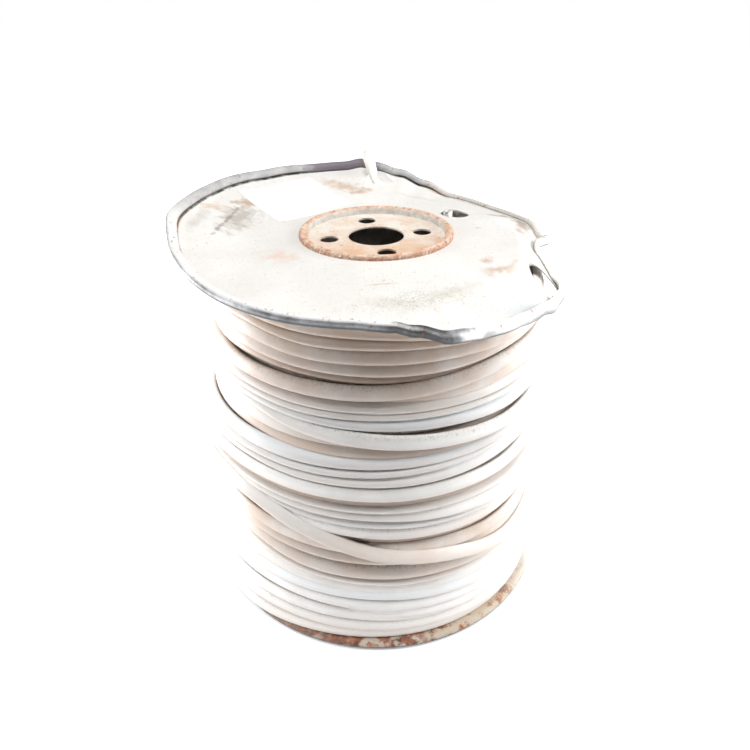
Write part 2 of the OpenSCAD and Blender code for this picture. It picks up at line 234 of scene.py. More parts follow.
def dent(point):
    """Where a point of the flat upper flange is after the fall, in millimetres."""
    r, angle = math.hypot(point[0], point[1]), math.atan2(point[1], point[0])
    turned = math.degrees(angle) % 360
    _, rise, bend_r, shift = rim_at(turned)
    share = max(0, (r - bend_r) / (FLANGE_R - bend_r))
    wave = noise.noise(Vector((point[0] * 0.03, point[1] * 0.03, 0))) * 0.7
    wave *= ease((r - 55) / 20)
    # the seam has drawn the sheet up round the hub, most of all in front
    wave += (3.3 - 2.3 * point[1] / SEAM_R) * (1 - ease((r - 54) / 40))
    # the curl is pressed flat on the right
    flat = past_zero(turned, 346, 8, 5, 4)
    if 12 <= turned < 72:
        flat = 0.8 * hump(turned, 13, 5, 58, 12)
    height = (point[2] - TOP_FACE) * (1 - 0.6 * flat * ease((r - 118) / 6))
    # there, and at the back beside the tail, the slit within it is pressed shut
    shut = max(min(1, flat * 1.25), hump(turned, 81, 4, 113, 4))
    if r < LIP_R and height > LIP_LOW:
        height = mix(height, LIP_SHUT, shut * ease((3.6 - height) / 1.5))
    # it is knocked all along the bent side, less past 328 degrees
    knock = Vector((*polar(1, angle), 0)) * 5
    smooth = 1 - 0.75 * ease((turned - 318) / 10)
    bent_side = past_zero(turned, 272, 8, 5, 8)
    wave += noise.noise(knock * 1.5) * 0.9 * smooth * bent_side * ease((r - 122) / 5)
    bent = rise * share ** mix(1.3, 1, ease((-rise - 12) / 8))
    return Vector((*polar(r + shift * share, angle), TOP_FACE + height + bent + wave))


# %% Build both flanges
bm = flat_flange(1, TOP_FACE, LEAD_HOLES[:2] + [RIM_HOLE])
hole = Vector(polar(RIM_HOLE[0], math.radians(RIM_HOLE[1])))
cut_edge = bm.verts.layers.float.new("cut_edge")
for v in bm.verts:
    v[cut_edge] = (v.co.to_2d() - hole).length - RIM_HOLE[2] / 2
    v.co = dent(v.co) * MM
upper_flange = piece("bent_upper_flange", bm, ["upper_flange"])

bm = flat_flange(-1, LOW_FACE, [(r, TURNED_OVER - a, d) for r, a, d in LEAD_HOLES])
lower_flange = piece("curled_lower_flange", in_metres(bm), ["lower_flange"])

# %% [markdown]
# ## The hub plates
#
# Each end of the barrel is closed by a pressed plate. Its edge is rolled into a seam that
# stands proud, so that the flat part lies in a shallow dish with a visible inner wall. A
# flat disc with a ring on it would look the same from above only; here the section is
# one chain again, with the hollow roll in it, and the drive holes are cut through it. The
# fall has leant the upper hub back by 1.8 degrees.

# %% Sizes of the hub plates, in millimetres
PLATE_FACE, PLATE_T = 2.0, 1.2
ARBOR_R, ARBOR_EDGE = 19.05, 0.2
ROLL_R, ROLL_IN, ROLL_FOOT = 2.6, 1.4, 2.8  # outside and inside of the roll, edge of the plate
UPPER_SEAM, LOWER_SEAM = 7.2, 5.3  # heights of the seams over the flanges
HUB_LEAN = 1.8  # degrees
DRIVE_R, DRIVE_D, DRIVE_ANGLE = 32.5, 12.7, 12
DRIVE_HOLES = [(DRIVE_R, DRIVE_ANGLE + 90 * i, DRIVE_D) for i in range(4)]
HUB_STEPS = 96


def hub_section(outwards, face, seam_top):
    roll = [math.radians(15 * i) for i in range(13)]
    centre, low, back = SEAM_R - ROLL_R, seam_top - ROLL_R, PLATE_FACE - PLATE_T
    chain = [(SEAM_R, 0)]
    chain += [(centre + ROLL_R * math.cos(a), low + ROLL_R * math.sin(a)) for a in roll]
    chain += [(centre - ROLL_FOOT, PLATE_FACE), (ARBOR_R + ARBOR_EDGE, PLATE_FACE),
              (ARBOR_R, PLATE_FACE - ARBOR_EDGE), (ARBOR_R, back), (centre - ROLL_IN, back)]
    chain += [(centre + ROLL_IN * math.cos(a), low + ROLL_IN * math.sin(a))
              for a in roll[::-1]]
    chain += [(centre + ROLL_IN, 0)]
    return [(r, face + outwards * h) for r, h in chain]


# %% Build both hub plates
hubs = []
for name, outwards, face, seam_top, stands_for in (
        ("upper_hub", 1, TOP_FACE + SHEET, UPPER_SEAM, "upper_hub_plate"),
        ("lower_hub", -1, LOW_FACE - SHEET, LOWER_SEAM, "lower_hub_plate")):
    bm = spun_and_cut(hub_section(outwards, face, seam_top), DRIVE_HOLES, face, HUB_STEPS)
    if outwards > 0:
        bmesh.ops.rotate(bm, verts=bm.verts, cent=(0, 0, face),
                         matrix=Matrix.Rotation(math.radians(-HUB_LEAN), 3, "X"))
    hubs.append(piece(name, in_metres(bm), [stands_for]))
    print(name, "bore:", ARBOR_R * 2, "mm")

# %% [markdown]
# ## The layers under the outer one
#
# Ten layers of cable lie below the one that shows. Only slits of them are seen, between
# the turns and through the lead holes, so one turned solid with a rib for each turn is
# enough. Its side leans out to the left with the slack turns.

# %% Outline of the winding
# Radius of the winding at heights, on its left, front (and back) and right side
SIDES = {
    "left": [(0, 136.5), (32, 137), (52, 134.5), (80, 129), (114, 130.5), (140, 133),
             (158, 130.5), (174, 122), (190, 118.5), (260, 117)],
    "front": [(0, 129.5), (20, 128.5), (60, 128), (150, 128), (178, 122), (205, 116), (260, 116)],
    "right": [(0, 129.5), (12, 128.5), (25, 125), (62, 124.5), (80, 122.5), (100, 122.5),
              (122, 123.5), (138, 121.5), (156, 121), (180, 122), (195, 118.5), (260, 116)],
}


def side_r(side, z):
    rows = SIDES[side]
    for (z0, r0), (z1, r1) in zip(rows, rows[1:]):
        if z < z1:
            return mix(r0, r1, ease((z - z0) / (z1 - z0)))
    return rows[-1][1]


def outside_r(angle, z):
    across = math.cos(math.radians(angle))
    return mix(side_r("front", z), side_r("left" if across < 0 else "right", z), across ** 2)


# %% Spin the ribbed solid
CORE_R, FOOT_R, FOOT_Z = 49.6, 118, LOW_FACE + 0.4  # the inside, and the flat underside
SIDE_RIB, SIDE_IN, SIDE_BULGE = 8.6, 9.2, 1.9  # a rib's height, its depth inside, its bulge
TOP_RIB, TOP_BULGE, SHOULDER_Z, TOP_Z = 5.2, 1.6, 247, 256.6
LAYER_STEPS = 120


def rib(part, bulge):
    return math.sin(math.pi * part) ** 0.6 * bulge


def ribbed_section():
    points = [(CORE_R, FOOT_Z)]
    points += [(mix(CORE_R, FOOT_R, i / 60), FOOT_Z + 0.5 * (i % 3 > 0))
               for i in range(1, 60)]
    z = 8.0
    while z < 246:
        for part in (0, 0.25, 0.5, 0.75):
            level = z + part * SIDE_RIB
            points.append((side_r("front", level) - SIDE_IN + rib(part, SIDE_BULGE), level))
        z += SIDE_RIB
    r = 106.0
    while r > 54:
        level = mix(SHOULDER_Z, TOP_Z, ease((106 - r) / 18))
        points += [(r - part * TOP_RIB, level + rib(part, TOP_BULGE)) for part in (0, 0.3, 0.6)]
        r -= TOP_RIB
    return points + [(CORE_R, TOP_Z)]


bm = spun(ribbed_section(), LAYER_STEPS)
for v in bm.verts:
    r, angle, z = math.hypot(v.co.x, v.co.y), math.atan2(v.co.y, v.co.x), v.co.z
    r += (outside_r(math.degrees(angle), z) - side_r("front", z)) * ease((r - 90) / 20)
    v.co = Vector((*polar(r, angle), z)) * MM
under_layers = piece("under_layers", bm, ["inner_layers"], crease=60)

# %% [markdown]
# ## The outer layer of cable
#
# The cable is one length of flat two-wire cable, 9.8 by 4.8 mm, that was wound by hand
# over an untidy layer. Some turns lie flat, some stand on edge, one strays across four
# others. A texture could draw lines on a barrel, but the turns would have no depth. So
# one tube follows the whole route. Each turn has a row with its height at five places on
# the front, how far it stands out, how far it leans back, and how dirty it is. Between
# rows, round the back, the route climbs to the next turn.

# %% Rows of the winding, from the lower flange up
CABLE_W, CABLE_T = 9.8, 4.8
STRAY, STRAY_OUT, STRAY_LEAN = 9, 5.2, 14  # the turn that strays over others
FRONT = (225, 247, 270, 292, 315)
# Each row: heights at FRONT, stand-out, lean, dirt, tone (below 0 bluish, above 0 brownish).
# The tone is partly painted light: brownish on the turns that lie deep, as painted shade,
# and bluish on some turns that stand on edge, as painted reflected light.
TURNS = [
    ((11.2, 11.6, 11.7, 11.7, 11.6), (3.4, 1.2, -0.6, -1, -1), 6, 0.3, 0.2),
    ((24.0, 21.5, 19.4, 17.8, 15.6), (2.8, 1.1, 0.2, 0.2, 0.2), 15, 0.5, 0.1),
    ((33.6, 31.6, 28.4, 24.4, 20.6), (1.6, 0.6, -1.2, -2, -2), 10, 0.3, 0),
    ((40.0, 37.8, 32.8, 28.6, 24.8), (-5, -4, -1, 0, 0), 12, 0.2, 0),
    ((45.2, 43.4, 41.0, 37.8, 32.6), 0.3, 8, 0.2, -0.2),
    ((54.3, 53.3, 51.8, 47.6, 41.6), 0.4, 5, 0.1, -0.5),
    ((63.6, 61.0, 57.6, 55.0, 52.0), -0.9, 20, 0.2, -0.3),
    ((73.2, 67.0, 63.8, 61.8, 60.2), -0.3, 78, 0.1, -0.2),
    ((81.3, 74.8, 72.3, 70.3, 65.8), 0.3, 26, 0.8, 0.1),
    ((125.0, 111.0, 94.2, 85.0, 72.6), STRAY_OUT, 34, 0.1, 0.08),
    ((88.8, 86.5, 84.8, 82.5, 78.0), -1.0, 35, 0.9, 0.3),
    ((98.0, 96.8, 95.0, 92.4, 87.8), -0.4, 6, 0.3, 0.5),
    ((107.8, 105.5, 102.2, 100.4, 98.0), -4.2, 20, 0.8, 0.8),
    ((119.0, 115.0, 110.6, 108.2, 106.0), 0.2, 16, 0.8, 0),
    ((127.4, 121.3, 118.2, 115.0, 111.6), -0.6, 70, 0.2, -0.6),
    ((129.4, 126.7, 124.9, 121.8, 117.0), (-0.6, -0.6, -0.4, 0, 0), (70, 65, 52, 16, 10), 0.3, 0),
    ((132.6, 131.0, 130.0, 128.8, 125.6), -0.9, 84, 0.2, 0),
    ((138.0, 136.8, 135.2, 134.8, 133.6), -4.0, 10, 0.9, 0.9),
    ((146.6, 144.8, 143.8, 143.2, 141.6), 1.0, 4, 0.15, 0),
    ((154.2, 152.7, 152.7, 153.9, 155.4), -0.5, (85, 80, 72, 42, 8), 0.2, -0.2),
    ((158.6, 158.0, 158.8, 160.2, 161.4), -0.9, 82, 0.1, -0.4),
    ((165.2, 164.7, 165.1, 165.7, 165.9), -0.2, (20, 45, 58, 55, 58), 0.2, -0.6),
    ((173.8, 172.3, 171.6, 170.8, 170.2), -2.4, 20, 0.8, 0.8),
    ((182.2, 180.2, 178.3, 176.0, 174.4), (0, -2, -4, -4.6, -4.8), 12, 0.3, 0.3),
    ((189.0, 185.3, 181.8, 178.0, 175.0), (-0.5, 0.6, 2.0, 2.2, 2.2), (70, 30, 12, 10, 10),
     0.6, 0),
    ((193.0, 191.6, 190.6, 188.8, 186.4), -0.1, (86, 84, 65, 58, 50), 0.15, -0.7),
    ((196.8, 196.0, 195.8, 194.8, 193.2), -0.5, 86, 0.1, -0.2),
    ((202.3, 202.0, 201.5, 201.2, 199.8), -0.4, (50, 44, 44, 38, 48), 0.2, -0.2),
    ((209.4, 209.2, 208.6, 207.8, 208.0), (-5, -5, -4.2, -1.6, -0.8), 12, 0.3, 0.3),
    ((212.6, 212.2, 212.4, 214.6, 217.6), 0.9, 14, 0.8, 0),
    ((222.6, 222.4, 220.8, 221.2, 224.2), -4.6, 30, 0.3, 0.9),
    ((232.4, 230.0, 228.6, 228.3, 230.2), 0, 24, 0.7, 0),
    ((241.2, 237.7, 237.0, 236.4, 234.8), 0.4, 14, 0.6, 0.1),
    ((248.6, 245.4, 245.1, 243.0, 239.4), -0.4, (74, 50, 48, 72, 80), 0.2, 0.2),
    ((254.4, 253.0, 252.2, 248.0, 243.8), -1.2, 38, 0.7, 0.3),
]
print("turns:", len(TURNS))

# %% Route of the cable
# Keys are (angle along the cable, height, stand-out, lean, dirt, tone)
BACK, BACK_SWEEP = (350, 25, 60, 100, 140, 180), 270
BACK_LEANS = (8, 15, 30, 55, 75)
UPRIGHT, LEAN_MORE = 60, 8  # a turn leaning less than 60 degrees leans 8 more than its row


def five(value):
    return value if isinstance(value, tuple) else (value,) * 5


def tone_with_painted_shade(tone, z):
    """The tone, painted browner near the top as the shade under the upper flange,
    and a little browner from 52 to 114 mm.
    """
    return tone + 0.75 * ease((z - 196) / 12) + 0.4 * hump(z, 52, 12, 104, 10)


chance = random.Random(7)
# the route comes up at the back, from below the first turn
keys = [(100, 12.0, -4.5, 0, 0.2, 0), (150, 11.8, -1.5, 4, 0.2, 0), (190, 11.6, 1.2, 5, 0.2, 0)]
for i, (heights, out, lean, dirt, tone) in enumerate(TURNS):
    for a, z, o, l in zip(FRONT, heights, five(out), five(lean)):
        l += LEAN_MORE if l < UPRIGHT else 0
        keys.append((a + 360 * i, z, o, l, dirt, tone_with_painted_shade(tone, z)))
    if i + 1 == len(TURNS):
        break
    after = TURNS[i + 1]
    z0, z1 = heights[-1], after[0][0]
    o0, o1 = five(out)[-1], five(after[1])[0]
    for a in BACK:
        t = (a - FRONT[-1]) % 360 / BACK_SWEEP
        if i in (STRAY - 1, STRAY):
            o = STRAY_OUT * (ease(t * 5) if i == STRAY - 1 else 1 - ease(t * 4))
            wobble, l = 0, STRAY_LEAN
        else:
            o, wobble = mix(o0, o1, t) * 0.6, chance.uniform(-0.8, 0.8)
            l = chance.choice(BACK_LEANS)
        keys.append((a + 360 * i + (360 if a < FRONT[0] else 0), mix(z0, z1, ease(t)) + wobble,
                     o, l, chance.uniform(0.1, 0.8), chance.uniform(-0.5, 0.6)))
# the last stretch climbs to the tail
top = 360 * len(TURNS)
keys += [(top - 12, 243.4, -2, 50, 0.4, 0), (top + 20, 245.8, -1.5, 40, 0.4, 0),
         (top + 45, 249.5, -0.5, 20, 0.3, 0), (top + 62, 252.4, 0.5, 6, 0.2, 0)]
print("keys:", len(keys))


def key_at(angle, start):
    """The last key before an angle, from start on, and the smooth values there."""
    while keys[start + 1][0] < angle:
        start += 1
    p, a, b, q = (keys[max(0, min(len(keys) - 1, start + k))] for k in (-1, 0, 1, 2))
    t = (angle - a[0]) / (b[0] - a[0])
    row = []
    for k in range(1, 6):
        m0 = (b[k] - p[k]) / max(1, b[0] - p[0]) * (b[0] - a[0])
        m1 = (q[k] - a[k]) / max(1, q[0] - a[0]) * (b[0] - a[0])
        row.append((2 * t**3 - 3 * t**2 + 1) * a[k] + (t**3 - 2 * t**2 + t) * m0
                   + (3 * t**2 - 2 * t**3) * b[k] + (t**3 - t**2) * m1)
    return start, row


# %% Rings of the cable: centre, way outwards, way across, dirt, tone and stand-out
ANGLE_STEP = 4.0
SHEET_GAP = 0.8  # the least room between the bent sheet and the turns below it
half_flat = (CABLE_W - CABLE_T) / 2
rings = []
start, angle = 0, float(keys[0][0])
while angle <= keys[-1][0]:
    start, (z, out, lean, dirt, tone) = key_at(angle, start)
    # no turn lies quite evenly
    lean += 9 * noise.noise(Vector((angle * 0.012, 3.1, 0)))
    out += 0.35 * noise.noise(Vector((angle * 0.03, 9.7, 0)))
    tilt, a = math.radians(lean), math.radians(angle)
    half_deep = half_flat * abs(math.sin(tilt)) + CABLE_T / 2
    half_high = half_flat * math.cos(tilt) + CABLE_T / 2
    r = outside_r(angle, z) + out - half_deep
    if z > 215 and -75 < (angle + 180) % 360 - 180 < 45:  # below the bent side
        sheet = dent((*polar(r + half_deep, a), TOP_FACE)).z
        z = min(z, sheet - SHEET_GAP - half_high)
    o, up = Vector((*polar(1, a), 0)), Vector((0, 0, 1))
    rings.append((o * r + up * z, o * math.cos(tilt) + up * math.sin(tilt),
                  up * math.cos(tilt) - o * math.sin(tilt), dirt, tone, out))
    angle += ANGLE_STEP
print("rings of the layer:", len(rings))

# %% [markdown]
# ## The tail
#
# The outer end of the cable leaves the winding at the back, climbs outside the curled
# edge, turns over it, and goes down through the lead hole. It is the same tube, carried
# on over its own points, with the way that its width points at each.

# %% Rings of the tail
# Each row: centre in millimetres, way across
TAIL_STEPS, TAIL_DIRT = 4, 0.15
TAIL = [
    ((34, 112, 254.8), (0.1, 0, 1)), ((21, 121, 258.5), (0.3, 0, 1)),
    ((9, 130, 264.5), (0.6, 0, 0.8)), ((1, 134.4, 270.5), (0.85, 0, 0.5)),
    ((-4, 134.6, 278), (1, 0, 0.25)), ((-6.5, 133.5, 284.5), (1, 0, 0)),
    ((-7, 128.5, 287.6), (1, 0.1, 0)), ((-6, 122, 286.3), (0.9, 0.45, 0)),
    ((-4.5, 117.5, 281.5), (0.75, 0.65, 0)), ((-3, 115, 276), (0.65, 0.75, 0)),
    ((-2.2, 114, 271.5), (0.35, 0.95, 0)), ((-2, 113.5, 267.5), (0, 1, 0)),
    ((-2, 113.5, 257.5), (0, 1, 0)),
]


def smooth_line(points, per_span):
    """Catmull-Rom curve through the points, per_span steps between two of them."""
    line = []
    for i in range(len(points) - 1):
        p, a, b, q = (points[max(0, min(len(points) - 1, i + k))] for k in (-1, 0, 1, 2))
        for s in range(per_span):
            t = s / per_span
            line.append(0.5 * (2 * a + (b - p) * t + (2 * p - 5 * a + 4 * b - q) * t * t
                               + (3 * a - p - 3 * b + q) * t**3))
    return line + [points[-1]]


tail_line = smooth_line([rings[-1][0]] + [Vector(p) for p, w in TAIL], TAIL_STEPS)[1:]
tail_wide = smooth_line([rings[-1][2]] + [Vector(w) for p, w in TAIL], TAIL_STEPS)[1:]
for i, (centre, wide) in enumerate(zip(tail_line, tail_wide)):
    after = tail_line[min(len(tail_line) - 1, i + 1)]
    before = tail_line[i - 1] if i else rings[-1][0]
    along = (after - before).normalized()
    across = (wide - along * wide.dot(along)).normalized()
    rings.append((centre, along.cross(across) * -1, across, TAIL_DIRT, 0, 0))
print("rings in all:", len(rings))

# %% Section of the cable
# (way outwards, way across): an oval with flattened faces, bulged by the wires in it
SECTION_STEPS = 28


def cable_section():
    points = []
    for i in range(SECTION_STEPS):
        c, n = polar(1, math.tau * i / SECTION_STEPS)
        points.append((CABLE_T / 2 * math.copysign(abs(c) ** 0.75, c),
                       CABLE_W / 2 * math.copysign(abs(n) ** 0.95, n)))
    return points


# %% Lay the tube along its rings
# A flat grid gives the faces; each point of it is moved to its place on a ring, and the
# two long edges of the grid are welded.
def tube(rings, section):
    n, count = len(section), len(rings)
    bm = bmesh.new()
    bmesh.ops.create_grid(bm, x_segments=count - 1, y_segments=n, size=1)
    across, dirt, tone, deep = (bm.verts.layers.float.new(name)
                                for name in ("across", "dirt", "tone", "deep"))
    for v in bm.verts:
        s = section[round((v.co.y + 1) / 2 * n) % n]
        ring = rings[round((v.co.x + 1) / 2 * (count - 1))]
        centre, outwards, wide, v[dirt], v[tone], out = ring
        v[across], v[deep] = s[1] / (CABLE_W / 2), max(0, -out)
        v.co = (centre + outwards * s[0] + wide * s[1]) * MM
    bmesh.ops.remove_doubles(bm, verts=bm.verts, dist=1e-6)
    bmesh.ops.holes_fill(bm, edges=[e for e in bm.edges if e.is_boundary], sides=0)
    bmesh.ops.recalc_face_normals(bm, faces=bm.faces)
    return bm


# %% How deep each point lies between its neighbours
# The crevices are painted darker, as shade. For each point, the highest surface
# within 2.5 mm above it and within 2.5 mm below it are found; it lies as deep as
# the lower of the two.
LEVELS, REACH = 2, range(6)  # levels in a millimetre, and those to look at
TAIL_Z = 256  # from this height up it is the tail, which has no neighbours


def cell_of(v):
    """Radius in millimetres, step round and level of a point."""
    turned = math.degrees(math.atan2(v.co.y, v.co.x))
    return v.co.to_2d().length / MM, round(turned / ANGLE_STEP), round(v.co.z / MM * LEVELS)


bm = tube(rings, cable_section())
gap = bm.verts.layers.float.new("gap")
cells = [cell_of(v) for v in bm.verts]
outline = {}
for r, column, level in cells:
    outline[column, level] = max(outline.get((column, level), 0), r)
for v, (r, column, level) in zip(bm.verts, cells):
    above, below = (max(outline.get((column, level + way * k), 0) for k in REACH)
                    for way in (1, -1))
    v[gap] = min(above, below) - r if v.co.z / MM < TAIL_Z else 0
winding = piece("wound_cable", bm, ["outer_layer", "cable_tail"], crease=75)

# %% [markdown]
# ## The paper label
#
# A blank paper label is stuck on the bent sheet. Paper has no stiffness to speak of, so
# it takes the form of the sheet below it, and its corners lift a little. A grid is laid
# out flat, pressed onto the bent flange with the same function, and given its thickness.

# %% Label
LABEL_W, LABEL_H, PAPER, RAISED = 67, 52, 0.2, 0.22
LABEL_AT, LABEL_TURN = Vector((-61, 65.5, 0)), 42

bm = bmesh.new()
bmesh.ops.create_grid(bm, x_segments=44, y_segments=36, size=0.5)
turn = Matrix.Rotation(math.radians(LABEL_TURN), 3, "Z")
for v in bm.verts:
    x, y = v.co.x, v.co.y
    flat = turn @ Vector((x * LABEL_W, y * LABEL_H, 0)) + LABEL_AT
    # the corners lift, and the paper is not quite even
    lift = RAISED + 0.2 * ease(abs(x) * 2 + abs(y) * 2 - 1.45)
    lift += 0.12 * abs(noise.noise(Vector((x * 5, y * 5, 2))))
    v.co = dent(Vector((flat.x, flat.y, TOP_FACE + SHEET + lift))) * MM
bmesh.ops.recalc_face_normals(bm, faces=bm.faces)
if sum(f.normal.z for f in bm.faces) < 0:
    bmesh.ops.reverse_faces(bm, faces=bm.faces)
bmesh.ops.solidify(bm, geom=bm.faces, thickness=PAPER * MM)
label = piece("blank_paper_label", bm, ["paper_label"])

# %% [markdown]
# ## Helpers for finishes
#
# `paint` starts a material, `node` adds one node to it, and `colour` turns a hex value
# into the linear colour that Blender computes with. A mask is a value from 0 to 1, and
# `lay_on` puts a tint on where a mask says so. Places in masks are in metres; the sizes
# of clouds and stains, and the attributes of the meshes, are in millimetres.

# %% Finish helpers
def colour(hex_value):
    parts = [int(hex_value[i:i + 2], 16) / 255 for i in (0, 2, 4)]
    return (*[p / 12.92 if p <= 0.04045 else ((p + 0.055) / 1.055) ** 2.4 for p in parts], 1)


def paint(name):
    """A new material, its tree and the place on the object."""
    material = bpy.data.materials.new(name)
    material.use_nodes = True
    tree = material.node_tree
    tree.nodes.clear()
    return material, tree, node(tree, "ShaderNodeTexCoord").outputs["Object"]


def node(tree, kind, inputs=None, ramp=None, **settings):
    made = tree.nodes.new(kind)
    for key, value in settings.items():
        setattr(made, key, value)
    for key, value in (inputs or {}).items():
        if isinstance(value, bpy.types.NodeSocket):
            tree.links.new(value, made.inputs[key])
        else:
            made.inputs[key].default_value = value
    if ramp:
        while len(made.color_ramp.elements) < len(ramp):
            made.color_ramp.elements.new(0.5)
        for element, (place, value) in zip(made.color_ramp.elements, ramp):
            element.position, element.color = place, colour(value)
    return made


def blend_colours(tree, share, a, b):
    """Colour a turning into b as share goes from 0 to 1."""
    made = node(tree, "ShaderNodeMix", {0: share, 6: a, 7: b}, data_type="RGBA")
    return made.outputs[2]


def maths(tree, operation, a, b=0.0, clamp=True):
    made = node(tree, "ShaderNodeMath", {0: a, 1: b}, operation=operation, use_clamp=clamp)
    return made.outputs[0]


def times(tree, a, b):
    return maths(tree, "MULTIPLY", a, b)


def either(tree, a, b):
    return maths(tree, "MAXIMUM", a, b)


def length(tree, vector):
    return node(tree, "ShaderNodeVectorMath", {0: vector}, operation="LENGTH").outputs["Value"]


def ramp_up(tree, value, low, high):
    """0 below low, 1 above high; a fall when low is the larger one."""
    made = node(tree, "ShaderNodeMapRange", {"Value": value, "From Min": low, "From Max": high})
    return made.outputs[0]


def blend_value(tree, share, a, b):
    """A value going from a to b as share goes from 0 to 1."""
    made = node(tree, "ShaderNodeMapRange", {"Value": share, "To Min": a, "To Max": b})
    return made.outputs[0]


def read_float(tree, name):
    return node(tree, "ShaderNodeAttribute", attribute_name=name).outputs["Fac"]


def split(tree, place):
    parts = node(tree, "ShaderNodeSeparateXYZ", {0: place})
    return parts.outputs[0], parts.outputs[1]


def clouds(tree, place, size_mm, low, high, detail=4, rough=0.6):
    """Noise with features of size_mm, spread between low and high as 0 and 1."""
    made = node(tree, "ShaderNodeTexNoise",
                {"Vector": place, "Scale": 1000 / size_mm, "Detail": detail, "Roughness": rough})
    return ramp_up(tree, made.outputs["Fac"], low, high)


def mottled(tree, place, a, b, *cloud, **more):
    """Clouds of tint b in tint a, both hex values; the rest is what clouds takes."""
    return blend_colours(tree, clouds(tree, place, *cloud, **more), colour(a), colour(b))


def lay_on(tree, base, hex_value, mask, share=1):
    """base with a tint on it where mask is 1, at most by share."""
    if share < 1:
        mask = times(tree, mask, share)
    return blend_colours(tree, mask, base, colour(hex_value))


def oval_mark(tree, place, at, size, turn, ragged, grain_mm, soft):
    """An oval mark for stains and painted shade: centre and half sizes in mm, turned by degrees.

    ragged is how far its edge strays, in grains of grain_mm, and soft how wide it fades.
    """
    local = node(tree, "ShaderNodeMapping",
                 {"Vector": place, "Location": (at[0] * MM, at[1] * MM, 0),
                  "Rotation": (0, 0, math.radians(turn)),
                  "Scale": (size[0] * MM, size[1] * MM, 1000)}, vector_type="TEXTURE")
    rough, away = clouds(tree, place, grain_mm, 0.3, 0.7), length(tree, local.outputs[0])
    edge = node(tree, "ShaderNodeMath", {0: rough, 1: ragged, 2: away}, operation="MULTIPLY_ADD")
    return ramp_up(tree, edge.outputs[0], 1 + ragged / 2, 1 + ragged / 2 - soft)


def uneven(tree, place, strength, depth_mm, size_mm):
    """The normal of a surface with bumps that are depth_mm deep and size_mm wide."""
    made = node(tree, "ShaderNodeBump", {"Strength": strength, "Distance": depth_mm * MM,
                                         "Height": clouds(tree, place, size_mm, 0.3, 0.7)})
    return made.outputs[0]


def finish(tree, base, roughness, **more):
    shader = node(tree, "ShaderNodeBsdfPrincipled",
                  {"Base Color": base, "Roughness": roughness, **more})
    node(tree, "ShaderNodeOutputMaterial", {"Surface": shader.outputs[0]})


def mottled_finish(name, a, b, size_mm, roughness, **more):
    material, tree, place = paint(name)
    finish(tree, mottled(tree, place, a, b, size_mm, 0.35, 0.7), roughness, **more)
    return material


def wear(target, material):
    target.data.materials.clear()
    target.data.materials.append(material)


# %% [markdown]
# ## White paint on the upper flange
#
# The flange is steel sheet with a thin coat of white paint. Paint on a used reel is not
# one white: it is chalky, greyer where the zinc shows through, and brown where water
# stood on bare steel. The curl has lost most of its paint and shows dull grey metal.
# Some grey, black and blue in it is painted shade: under the curl, in the slit at the
# back, in a dent of the curl in front, along a crease on the left, and where the sheet
# bends down on the right. Beside the tail there is a painted highlight.

# %% Marks on the upper flange
# Each row: centre and half sizes in mm, turn, colour, strength
MARKS = [
    # the grey line and the grey patch at the left are painted shade of a crease that the sheet
    # lacks
    ((-97, 22), (31, 14), 78, "BDB6AE", 0.95), ((-104, 12.5), (34, 2), 80, "9A9088", 0.85),
    ((-115.6, 29.9), (12, 7), 20, "D6BEA6", 0.8), ((-95.8, 46.8), (12, 7), 20, "C2AA94", 0.95),
    ((-121, 4), (5, 30), -6, "CFC9C0", 0.7), ((-62, -38), (19, 8), -34, "E3C4B0", 0.6),
    ((-26, 98), (22, 9), -20, "CDB49C", 0.85), ((-12, 90), (12, 6), 20, "CBB09A", 0.85),
    ((12, -99), (26, 9), -8, "C9C1B2", 0.4), ((45, -84), (26, 7), 36, "C6BCA9", 0.4),
    ((83, -50), (17, 4), 50, "C4AE94", 0.6), ((5, -78), (15, 0.9), 10, "CDB297", 0.8),
    ((70.4, -41.6), (8, 4), 50, "C09C7E", 0.7), ((72, -55), (10, 6), 20, "C6A283", 0.6),
    ((97, 58), (17, 7), 25, "B3A69C", 0.95), ((108, 46), (8, 14), 10, "A99A90", 0.95),
    ((104, 28), (17, 7), 72, "B8AAA0", 0.75), ((80, 90), (34, 8), -42, "CBC4BC", 0.65),
    ((50.5, 113), (13, 4), -18, "D6C4B0", 0.8), ((71, 14), (3.2, 1.1), 35, "B47350", 0.9),
    ((35, 88), (22, 5), -15, "DAD3CA", 0.7), ((119, -12), (4.5, 24), 4, "C2B8AD", 0.8),
]


